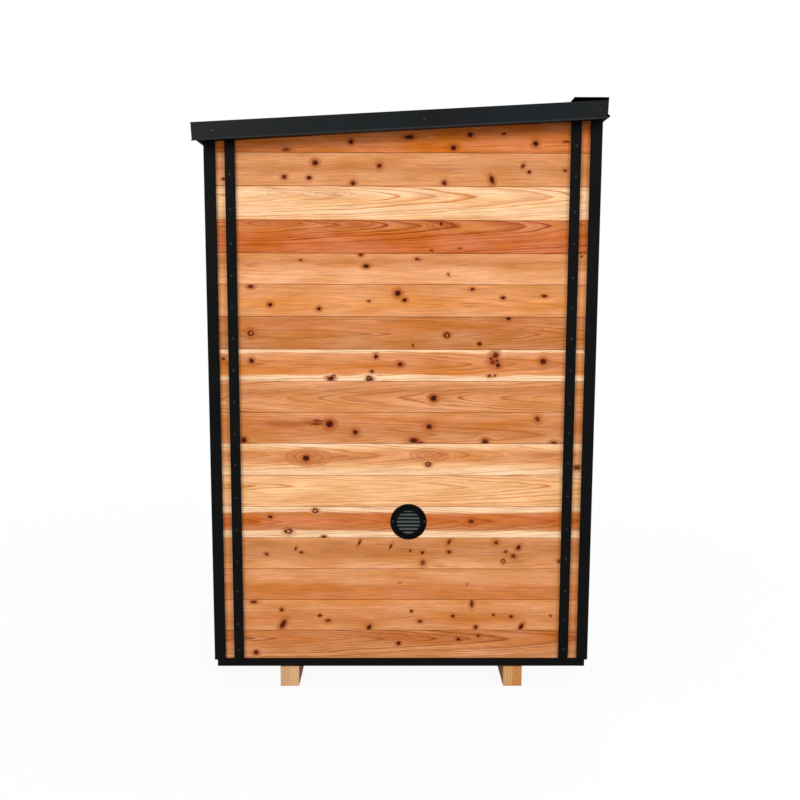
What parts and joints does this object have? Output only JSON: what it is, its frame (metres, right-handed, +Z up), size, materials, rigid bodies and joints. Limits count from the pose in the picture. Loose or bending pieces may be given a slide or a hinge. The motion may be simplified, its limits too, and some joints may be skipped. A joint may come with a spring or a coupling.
{
  "type": "outdoor sauna cabin",
  "caption": "Small cabin with horizontal plank walls between black trims, a low single-slope ribbed roof, a glass door, a round wall vent and timber skids.",
  "frame": {"origin": "on the ground, under the middle of the whole object", "axes": "+Z up, +X out of the front wall with the door, -Y out of the side wall with the vent"},
  "size_m": [1.616, 1.966, 2.3398],
  "materials": {
    "cedar_planks": "horizontal red cedar planks, smooth planed and clear oiled",
    "floor_boards": "cedar floor boards, bare",
    "skid_timber": "sawn timber, bare",
    "door_frame_wood": "planed cedar, clear oiled",
    "handle_wood": "turned cedar, clear oiled",
    "door_glass": "grey tinted toughened glass, polished edges",
    "black_trim": "black powder coat, satin",
    "roof_flashing": "black coated sheet metal, satin",
    "roof_metal": "black coated ribbed sheet metal, satin",
    "roof_boards": "cedar roof boards, bare",
    "hinge_metal": "black coated steel, satin",
    "vent_plastic": "black moulded plastic",
    "vent_sleeve_metal": "bare spun aluminium"
  },
  "bodies": {
    "root": {"door_glass": "door_glass", "door_handle": "handle_wood", "door_head": "door_frame_wood", "door_jamb_hinge_side": "door_frame_wood", "door_jamb_latch_side": "door_frame_wood", "door_sill": "door_frame_wood", "floor_deck": "floor_boards", "front_base_band": "black_trim", "front_corner_trim_plain_side": "black_trim", "front_corner_trim_vent_side": "black_trim", "front_skid_inner_ply": "skid_timber", "front_skid_outer_ply": "skid_timber", "front_wall_over_door": "cedar_planks", "front_wall_plain_side": "cedar_planks", "front_wall_strap_plain_side": "black_trim", "front_wall_strap_vent_side": "black_trim", "front_wall_vent_side": "cedar_planks", "high_cap_flashing": "roof_flashing", "low_eave_trim": "roof_flashing", "lower_hinge": "hinge_metal", "plain_side_base_band": "black_trim", "plain_side_rake_trim": "roof_flashing", "plain_side_strap_front": "black_trim", "plain_side_strap_rear": "black_trim", "plain_side_wall": "cedar_planks", "rear_base_band": "black_trim", "rear_corner_trim_plain_side": "black_trim", "rear_corner_trim_vent_side": "black_trim", "rear_skid_inner_ply": "skid_timber", "rear_skid_outer_ply": "skid_timber", "rear_wall": "cedar_planks", "rear_wall_strap_plain_side": "black_trim", "rear_wall_strap_vent_side": "black_trim", "roof_deck": "roof_boards", "roof_sheet": "roof_metal", "upper_hinge": "hinge_metal", "vent_grille": "vent_plastic", "vent_plank": "cedar_planks", "vent_side_base_band": "black_trim", "vent_side_rake_trim": "roof_flashing", "vent_side_strap_front": "black_trim", "vent_side_strap_rear": "black_trim", "vent_side_wall_lower": "cedar_planks", "vent_side_wall_upper": "cedar_planks", "vent_sleeve": "vent_sleeve_metal"}
  },
  "joints": []
}
